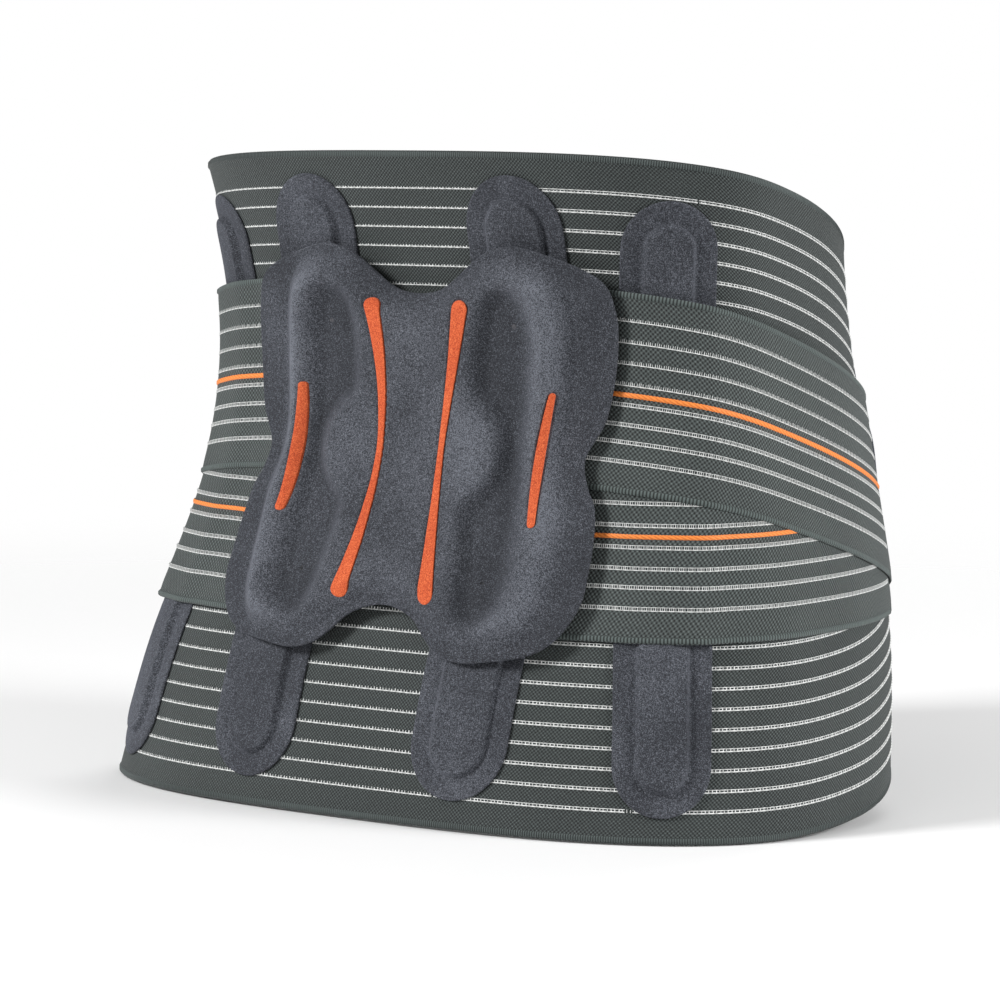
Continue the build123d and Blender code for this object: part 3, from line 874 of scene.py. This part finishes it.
def stitches(name, side, x, z, size, radius, off):
    """A row of lockstitches round a rounded rectangle."""
    d, rings = rounded_rings(*size, radius)
    loop = np.vstack((rings[0], rings[0][:1]))
    reach = travelled(loop)
    parts = []
    a = np.linspace(0, 2 * math.pi, 6, endpoint=False)
    steps = np.linspace(-0.5, 0.5, 5)
    fat = np.sqrt(np.clip(1 - (2 * steps) ** 4, 0.03, 1)) * STITCH_HALF
    profile = np.stack((np.cos(a), np.sin(a)), -1)[None] * fat[:, None, None]
    for middle in np.arange(0, reach[-1] - STITCH_PITCH / 2, STITCH_PITCH):
        at = middle + steps * STITCH_LONG
        px = x + np.interp(at, reach, loop[:, 0], period=reach[-1])
        pz = z + np.interp(at, reach, loop[:, 1], period=reach[-1])
        p, _, outward, sideways = frame_along(patch_u(side, px, pz), pz, off + 0.12, rise_of(side))
        uv = np.repeat(at, 6)[:, None] * np.array((0.01, 0.0))
        parts.append((tube(p, sideways, outward, profile), grid_faces(5, 6, 0, True), uv))
    return joined(name, parts, STITCH)


# ---- front: panels, closure and hand pocket
for name, side in SIDES.items():
    wing, x, size = f"{name}_wing", side * 34.5, (119.0, PANEL_HEIGHT)
    panel = patch(f"{name}_front_loop_panel", side, x, PANEL_Z, size, 20, (0.3, 1.5), LOOP, wavy=0.12)
    carry(panel, wing, [f"{name}_front_panel"])
    seam_size = (size[0] - 6, size[1] - 6)
    seam = carry(stitches(f"{name}_front_panel_stitches", side, x, PANEL_Z, seam_size, 17, 1.5), wing)

left, size = SIDES["left"], (48.0, 127.0)
closure = patch("closure_hook_tape", left, 0.0, PANEL_Z, size, 6, (-2.9, -1.95), HOOK)
carry(closure, "left_wing", ["closure_hook_panel"])
HAND_X, HAND_SIZE, HAND_SEAM = -7.0, (58, 96), (52, 90)
hand = patch(
    "hand_pocket_felt", left, HAND_X, PANEL_Z, HAND_SIZE, 16, (1.8, 2.9), FELT, crown=1.1, wavy=0.25)
carry(hand, "left_wing", ["hand_pocket"])
seam = stitches("hand_pocket_stitches", left, HAND_X, PANEL_Z, HAND_SEAM, 13, 3.0)
carry(seam, "left_wing")

# ---- strap end tabs
TAB_Z, TAB_HEIGHT = -17.0, 74.0
for name, side in SIDES.items():
    body, panel, x, size = f"{name}_tab", f"{name}_front_loop_panel", side * 70.0, (56.0, TAB_HEIGHT)
    tab = patch(f"{name}_tab", side, x, TAB_Z, size, 16, (3.0, 4.9), FELT, crown=0.3, wavy=0.15)
    carry(tab, body, [f"{name}_strap_tab"])
    seam = stitches(f"{name}_tab_stitches", side, x, TAB_Z, (50, TAB_HEIGHT - 7), 13, 5.0)
    carry(seam, body)
    grip = patch(f"{name}_tab_grip", side, side * 51.0, TAB_Z, (9, 34), 4.4, (4.8, 5.9), INLAY, crown=0.3)
    carry(grip, body)
    size = (38.0, TAB_HEIGHT - 10)
    hook = patch(f"{name}_tab_hook_tape", side, side * 65.0, TAB_Z, size, 11, (1.8, 2.7), HOOK)
    carry(hook, body, [f"{name}_tab_hook"])

# ---- behind the pad
BEHIND_PAD_Z = 14.0
ANCHOR_SIZE, LOOP_SIZE = (56.0, 112.0), (48.0, 104.0)
anchor = patch("spine_strap_anchor", 0, PAD_X, BEHIND_PAD_Z, ANCHOR_SIZE, 6, (3.0, 3.9), STRAP_KNIT)
carry(anchor, "back", ["strap_anchor"])
loop_patch = patch("spine_loop_patch", 0, PAD_X, BEHIND_PAD_Z, LOOP_SIZE, 6, (4.2, 5.05), LOOP)
carry(loop_patch, "back", ["pad_loop_patch"])
seam = carry(stitches("spine_patch_stitches", 0, PAD_X, BEHIND_PAD_Z, (43, 99), 4, 5.05), "back")

# ---- moulded back pad
# The pad's edge, the foot of its moulded wall and the sunk troughs, as (x, z) about its centre line.
# The first two go from the top of the centre line round to its foot; a trough goes all the way round.
PAD_HALF_OUTLINE = (
    (0, 74.5), (8, 75.5), (13.5, 78), (20, 82.8), (27.5, 88.5), (34.5, 92), (44, 93.8), (57, 91),
    (72, 85.5), (80.5, 79.5), (83.5, 71), (84.5, 61), (83.5, 44), (81, 27.5), (77.5, 19.5), (74.5, 13),
    (74.8, 7), (77.5, 0), (81, -6.5), (83.3, -18), (84.5, -32), (84.3, -44), (78, -56.5), (68, -62.8),
    (52, -66), (40, -67), (30, -64.5), (23, -59.5), (15.5, -52.5), (7.5, -49), (0, -47.8),
)
MOULDED_HALF = (
    (0, 72), (10, 74), (20, 80), (31, 87), (45, 89), (57, 85), (64, 76.5), (66.5, 62), (66.3, 40),
    (65.3, 23), (66.5, 9), (70.5, -4), (71.5, -16), (71.5, -30), (70.5, -45), (65, -56.5), (54, -61),
    (40, -62), (29, -58), (18, -49.5), (9, -46), (0, -44.8),
)
TROUGH = (
    (38.5, 77.5), (44.5, 76.5), (49.5, 70.5), (52, 56), (51, 32), (51, 14), (52, -2), (53.5, -22),
    (53.8, -42), (50, -51.5), (42, -54.5), (35.3, -51), (31.5, -42), (29.5, -30), (27.5, -18),
    (27.5, -9), (30.5, -4.5), (35, 0.5), (38.7, 7), (39.6, 14.5), (37.8, 22.3), (32.8, 29.3), (27, 34.5),
    (25.8, 42), (26, 52), (27.6, 64), (31.5, 74),
)
PAD_UNDER, FLANGE_OFF, PLATEAU_OFF, CREST_OFF = 6.6, 8.0, 13.8, 15.6
TROUGH_DEPTH = 4.6
PAD_MIDDLE = np.array((0.0, 13.0))


def closed_curve(points, count):
    """Smooth closed line through points, evenly spaced."""
    p = np.asarray(points, float)
    n, out = len(p), []
    t = np.linspace(0, 1, 12, endpoint=False)[:, None]
    for i in range(n):
        a, b, c, d = p[i - 1], p[i], p[(i + 1) % n], p[(i + 2) % n]
        bend, twist = 2 * a - 5 * b + 4 * c - d, 3 * b - a - 3 * c + d
        out.append(0.5 * (2 * b + (c - a) * t + bend * t ** 2 + twist * t ** 3))
    line = np.vstack(out)
    loop = np.vstack((line, line[:1]))
    reach = travelled(loop)
    at = np.linspace(0, reach[-1], count, endpoint=False)
    return np.stack((np.interp(at, reach, loop[:, 0]), np.interp(at, reach, loop[:, 1])), -1)


def both_halves(half):
    return list(half) + [(-x, z) for x, z in half[-2:0:-1]]


def rings_inside(line, at):
    """Rings from a closed line to the pad's middle, as x, z and the distance in from the line."""
    rings = line[None] + at[:, None, None] * (PAD_MIDDLE - line)[None]
    return rings[..., 0], rings[..., 1], np.linalg.norm(rings - line[None], axis=-1)


def signed_distance(x, z, outline):
    """Distance inside a closed line, minus outside it."""
    p = np.stack((x.ravel(), z.ravel()), -1)
    best = np.full(len(p), 1e9)
    inside = np.zeros(len(p), bool)
    for a, b in zip(outline, np.roll(outline, -1, axis=0)):
        ab, ap = b - a, p - a
        t = np.clip((ap @ ab) / (ab @ ab), 0, 1)
        best = np.minimum(best, ((ap - t[:, None] * ab) ** 2).sum(1))
        crosses = (a[1] > p[:, 1]) != (b[1] > p[:, 1])
        if abs(ab[1]) > 1e-12:
            inside ^= crosses & (p[:, 0] < ab[0] * (p[:, 1] - a[1]) / ab[1] + a[0])
    return (np.sqrt(best) * np.where(inside, 1, -1)).reshape(x.shape)


moulded_line = closed_curve(both_halves(MOULDED_HALF), 220)
trough_line = closed_curve(TROUGH, 160)


def inlay_line(kind, side):
    """Centre line of an inlay and its half width along it, as arrays of x, z, half width."""
    t = np.linspace(-1, 1, 120)
    if kind == "long":
        z = 13.3 - 55.8 * t
        x = 13.9 + side * 1.1 + 6.0 * np.abs(t) ** 1.7
        half = 1.25 + 2.1 * np.abs(t) ** 1.6
    else:
        z = 11.8 - 24.4 * t
        x = 54.4 + 1.8 * np.abs(t) ** 2 + 0.6 * t + side * (2.6 - 1.2 * t)
        half = 1.8 - 0.4 * np.abs(t) ** 2 + 0.2 * t
    return side * x, z, half


def distance_to_inlay(x, z):
    best = np.full(x.shape, 1e9)
    for kind in ("long", "short"):
        for side in SIDES.values():
            cx, cz, half = inlay_line(kind, side)
            for i in range(0, len(cx), 3):
                best = np.minimum(best, np.hypot(x - cx[i], z - cz[i]) - half[i])
    return best


DOTS = ((42.6, 62.5), (42.6, -36.5))     # the small vents in the troughs
CAP_TURN = math.pi / 2 * 0.985


def pad_highlight_and_shade(x, z):
    """Painted light on the pad's felt: a painted highlight on the crests, lobes and plateau, and painted
    shade in the troughs and on the flange outside the moulded wall.
    """
    ax = np.abs(x)
    wall, trough = signed_distance(ax, z, moulded_line), signed_distance(ax, z, trough_line)
    crest = np.exp(-((wall - 9.0) / 7.0) ** 2) * smooth(ax, 40, 54)
    lobe = np.exp(-((ax - 27) / 11.0) ** 2 - ((z - 13) / 17.0) ** 2)
    raised = 0.9 * crest + 0.8 * lobe + 0.25 * smooth(wall, 0, 8)
    return raised - 0.8 * smooth(trough, -2, 6) - 0.25 * smooth(-wall, -2, 4)


def pad_height(x, z, grooves=True):
    """How far the pad's outer face stands off the knit, at (x, z) about its own centre line."""
    ax = np.abs(x)
    wall = signed_distance(ax, z, moulded_line)
    trough = signed_distance(ax, z, trough_line)
    flank = smooth(ax, 18, 38)
    body = smooth(wall, -4.5 + 1.5 * flank, 10.0 + 2.0 * flank)
    crest = np.exp(-((wall - 11.0) / 5.5) ** 2) * smooth(ax, 36, 52)
    h = FLANGE_OFF + (PLATEAU_OFF - FLANGE_OFF) * body + (CREST_OFF - PLATEAU_OFF) * crest
    h = h - TROUGH_DEPTH * smooth(trough, -3.5, 7.0)
    h = h - 0.30 * np.exp(-((wall + 0.6) / 1.1) ** 2)
    h = h - 0.75 * np.exp(-(x / 9.0) ** 2) * np.exp(-((z - 8) / 45.0) ** 2)
    h = h + 0.7 * np.exp(-((ax - 31) / 8.0) ** 2 - ((z - 13) / 13.0) ** 2)
    h = h + 0.05 * np.sin(x * 0.21 + 1.1) * np.sin(z * 0.17) + 0.04 * np.sin(x * 0.5 + z * 0.33)
    if grooves:
        near = distance_to_inlay(x, z)
        h = h - 0.5 * (1 - smooth(np.abs(near - 0.1), 0.25, 1.0)) - 0.35 * (1 - smooth(near, -0.2, 0.6))
        for dx, dz in DOTS:
            h = h - 1.1 * np.exp(-((ax - dx) ** 2 + (z - dz) ** 2) / 0.75 ** 2)
    return h


pad_line = closed_curve(both_halves(PAD_HALF_OUTLINE), 620)
ring_at = np.unique(np.concatenate((
    (0, 0.001, 0.003, 0.006, 0.010, 0.014), np.linspace(0.014, 0.36, 75), np.linspace(0.36, 1.0, 85))))
x, z, to_edge = rings_inside(pad_line, ring_at)
outer = pad_height(x, z)
outer, inner = pinch(outer, PAD_UNDER, to_edge, 1.3)
# the pad's felt carries painted highlight and shade as a mesh attribute
pad = shell("back_pad_felt", PAD_X + x, z, outer, inner, FELT, ring=True, attributes={"painted_light": pad_highlight_and_shade(x, z)})
carry(pad, "pad", ["pad_base", "pad_core", "pad_cover"])

for name, side in SIDES.items():
    for kind in ("long", "short"):
        cx, cz, half = inlay_line(kind, side)
        line = np.stack((cx, cz), -1)
        tangent = unit(np.gradient(line, axis=0))
        normal = np.stack((-tangent[:, 1], tangent[:, 0]), -1)

        def cap(i, way, turn):
            return [(line[i] + way * tangent[i] * half[i] * math.sin(a), half[i] * math.cos(a), normal[i])
                    for a in turn]

        rows = cap(0, -1, np.linspace(CAP_TURN, 0, 12, endpoint=False)) + list(zip(line, half, normal))
        rows += cap(-1, 1, np.linspace(0, CAP_TURN, 13)[1:])
        w = np.sin(np.linspace(-math.pi / 2, math.pi / 2, 17))
        grid = np.array([centre + across * reach * w[:, None] for centre, reach, across in rows])
        reach = np.array([r for c, r, n in rows])[:, None] * np.ones(17)
        edge = reach * (1 - np.abs(w))
        base = pad_height(grid[..., 0], grid[..., 1], grooves=False)
        top = base + 0.10 + 0.22 * np.sqrt(np.clip(edge / 1.2, 0, 1))
        obj = shell(f"{name}_{kind}_inlay_felt", PAD_X + grid[..., 0], grid[..., 1], top, base - 0.9, INLAY)
        carry(obj, "pad", [f"{name}_{kind}_inlay"])

for name, side in SIDES.items():
    foam = patch(f"{name}_foam_block", 0, PAD_X + side * 40, BEHIND_PAD_Z, (22, 100), 6, (8.1, 9.0), FOAM)
    carry(foam, "pad", [f"{name}_foam_insert"])
a = np.linspace(0, 2 * math.pi, 16, endpoint=False)
vent_radius = np.array((0.85, 0.7, 0.45, 0.0))[:, None]
for end, (dx, dz) in zip(("top", "bottom"), DOTS):
    for name, side in SIDES.items():
        x, z = side * dx + vent_radius * np.cos(a), dz + vent_radius * np.sin(a)
        off = pad_height(x, z) + np.array((0.0, 0.06, 0.03, 0.0))[:, None]
        carry(shell(f"{name}_vent_{end}", PAD_X + x, z, off, off - 0.4, CAP, ring=True), "pad")

backing_half = [(x * 0.966, 13 + (z - 13) * 0.955) for x, z in PAD_HALF_OUTLINE]
backing_line = closed_curve(both_halves(backing_half), 240)
ring_at = np.array((0, 0.003, 0.008, 0.014, 0.1, 0.2, 0.3, 0.4, 0.5, 0.6, 0.7, 0.8, 0.9, 1.0))
x, z, to_edge = rings_inside(backing_line, ring_at)
outer, inner = pinch(6.3, 5.4, to_edge, 1.0)
backing = shell("pad_hook_tape", PAD_X + x, z, outer, inner, HOOK, ring=True)
carry(backing, "pad", ["pad_hook_backing"])

# ---- CAD nodes that stay in view
for node, material in {
    **{f"{name}_{place}_stay": STEEL for name in SIDES for place in POCKET_HALF},
    "stay_end_caps": CAP, "pad_stiffener": PLATE,
}.items():
    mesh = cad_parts[node].data
    mesh.materials.clear()
    mesh.materials.append(material)

# ---- floor, light and camera
FLOOR_Z = cad_box[0][2] - 0.0004
bpy.ops.mesh.primitive_grid_add(x_subdivisions=8, y_subdivisions=8, size=14, location=(0, 0, FLOOR_Z))
floor = bpy.context.object
floor.name = "floor"
add, _, finish = new_material("pale_floor")
reach = add("VectorMath", {0: add("TexCoord").outputs["Object"]}, operation="LENGTH").outputs["Value"]
fade = add("MapRange", {"Value": reach, 1: 0.25, 2: 1.3, 3: 1.0, 4: 0.0}, interpolation_type="SMOOTHSTEP")
pale = {"Base Color": (0.93, 0.93, 0.93, 1), "Roughness": 0.9, "Alpha": fade.outputs["Result"]}
floor.data.materials.append(finish(pale))

world = bpy.data.worlds.new("studio")
bpy.context.scene.world = world
world.use_nodes = True
nodes, links = world.node_tree.nodes, world.node_tree.links
ambient, backdrop = nodes["Background"], nodes.new("ShaderNodeBackground")
ambient.inputs["Color"].default_value = backdrop.inputs["Color"].default_value = (1, 1, 1, 1)
ambient.inputs["Strength"].default_value = 0.27
path, mixed = nodes.new("ShaderNodeLightPath"), nodes.new("ShaderNodeMixShader")
links.new(path.outputs["Is Camera Ray"], mixed.inputs[0])
links.new(ambient.outputs[0], mixed.inputs[1])
links.new(backdrop.outputs[0], mixed.inputs[2])
links.new(mixed.outputs[0], nodes["World Output"].inputs["Surface"])


def area_light(name, place, target, size, power):
    data = bpy.data.lights.new(name, "AREA")
    data.shape, data.size, data.energy = "DISK", size, power
    lamp = bpy.data.objects.new(name, data)
    bpy.context.scene.collection.objects.link(lamp)
    lamp.location = place
    lamp.rotation_euler = (Vector(target) - Vector(place)).to_track_quat("-Z", "Y").to_euler()


# The camera looks from behind and from the wearer's right, a little from above
AZIMUTH, ELEVATION, ROLL = math.radians(37.08), math.radians(4.877), math.radians(0.289)
DISTANCE, LENS = 1.7188, 149.95
TARGET = Vector((-0.00430, 0.0, -0.01281))
away = Vector((math.sin(AZIMUTH), -math.cos(AZIMUTH), math.tan(ELEVATION))).normalized()
level = (-away).cross(Vector((0, 0, 1))).normalized()
upright = level.cross(-away)
right = level * math.cos(ROLL) + upright * math.sin(ROLL)
up = -level * math.sin(ROLL) + upright * math.cos(ROLL)
camera_data = bpy.data.cameras.new("camera")
camera_data.sensor_width, camera_data.lens = 36, LENS
camera = bpy.data.objects.new("camera", camera_data)
bpy.context.scene.collection.objects.link(camera)
turned = Matrix((right, up, away)).transposed().to_4x4()
camera.matrix_world = Matrix.Translation(TARGET + away * DISTANCE) @ turned
bpy.context.scene.camera = camera

area_light("key", TARGET + away * 0.75 - level * 1.75 + Vector((0, 0, 1.0)), TARGET, 0.7, 46)
area_light("fill", TARGET + away * 0.8 + level * 1.8 + Vector((0, 0, 0.6)), TARGET, 0.9, 38)
area_light("rim", TARGET - away * 1.5 + level * 0.6 + Vector((0, 0, 1.2)), TARGET, 1.2, 10)
bpy.context.scene.view_settings.view_transform = "Standard"
